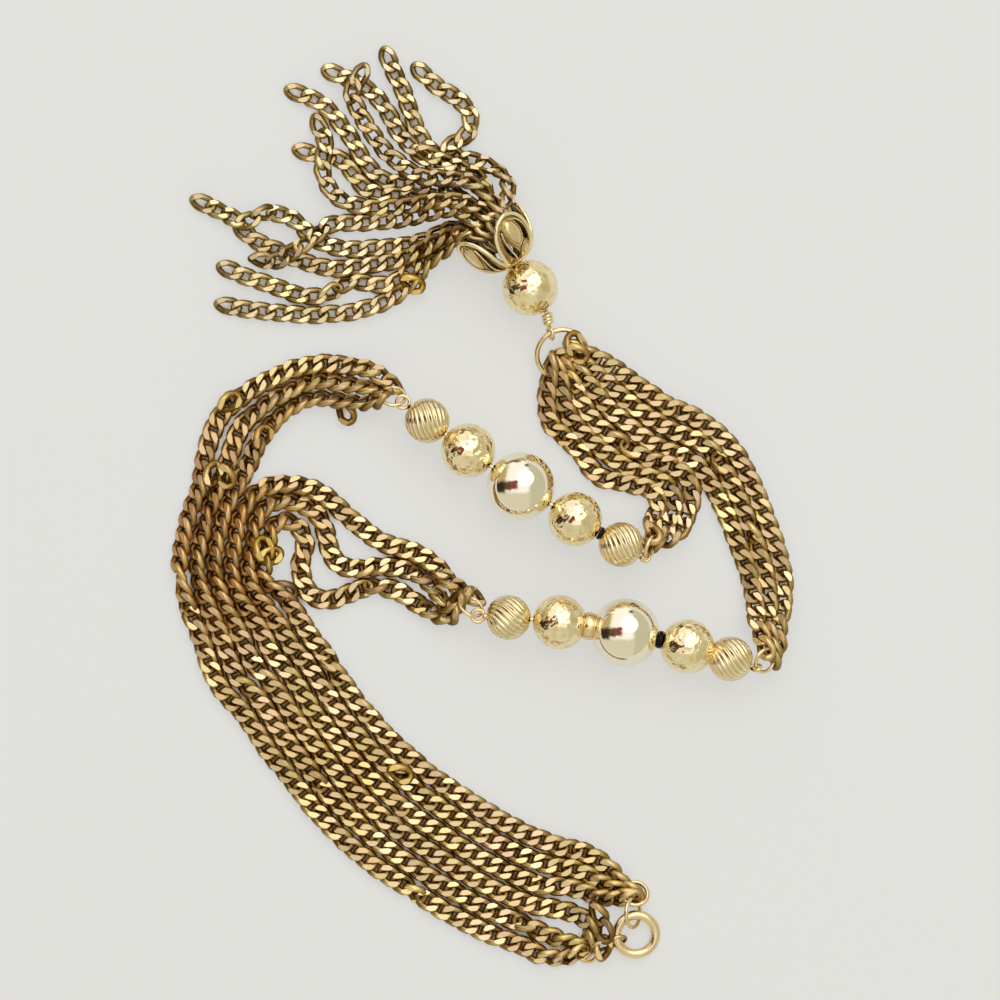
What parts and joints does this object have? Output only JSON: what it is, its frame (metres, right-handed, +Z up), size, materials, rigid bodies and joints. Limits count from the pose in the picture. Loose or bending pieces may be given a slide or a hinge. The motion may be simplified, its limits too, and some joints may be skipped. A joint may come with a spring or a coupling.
{
  "type": "necklace",
  "caption": "Multi-strand curb-chain necklace lying flat, with curved bars of round and fluted beads, a plain ring clasp and a petal-capped tassel of loose chain strands",
  "frame": {"origin": "Middle of the necklace's bounding box seen from above, on the surface that it lies on", "axes": "+X to the right and +Y away from the viewer of the picture, taken from straight above; +Z up from the surface. The necklace is longest along Y and thinnest along Z."},
  "size_m": [0.108, 0.1598, 0.0132],
  "materials": {
    "chain_metal": "worn gold plate on faceted curb links",
    "tassel_metal": "pale gold plate on flat curb links",
    "dark_metal": "tarnished dark brown",
    "hammered_metal": "hammered with many small dimples",
    "fluted_metal": "polished ribs with dark grooves",
    "polished_metal": "mirror polished pale gold",
    "cap_metal": "cast openwork with raised rims",
    "ring_metal": "polished gold tone wire"
  },
  "bodies": {
    "root": {"upper_wire": "ring_metal", "upper_fluted_left": "fluted_metal", "upper_hammered_left": "hammered_metal", "upper_smooth": "polished_metal", "upper_hammered_right": "hammered_metal", "upper_dark_spacer": "dark_metal", "upper_fluted_right": "fluted_metal", "upper_jump_left": "ring_metal", "upper_jump_right": "ring_metal", "lower_wire": "ring_metal", "lower_fluted_left": "fluted_metal", "lower_hammered_left": "hammered_metal", "lower_rondelle": "fluted_metal", "lower_smooth": "polished_metal", "lower_dark_spacer": "dark_metal", "lower_hammered_right": "hammered_metal", "lower_fluted_right": "fluted_metal", "lower_jump_left": "ring_metal", "lower_jump_right": "ring_metal", "front_ring": "ring_metal", "drop_pin": "ring_metal", "drop_bead": "polished_metal", "petal_cap": "cap_metal", "tassel": "tassel_metal", "gather_ring": "ring_metal", "clasp_link": "ring_metal", "clasp_ring": "ring_metal", "oval_link": "ring_metal", "catch_ring": "ring_metal", "long_outer_1": "chain_metal", "long_outer_2": "chain_metal", "long_outer_3": "chain_metal", "long_inner_1": "chain_metal", "long_inner_2": "chain_metal", "long_inner_3": "chain_metal", "short_outer_1": "chain_metal", "short_outer_2": "chain_metal", "short_outer_3": "chain_metal", "short_inner_1": "chain_metal", "short_inner_2": "chain_metal", "short_inner_3": "chain_metal"}
  },
  "joints": []
}
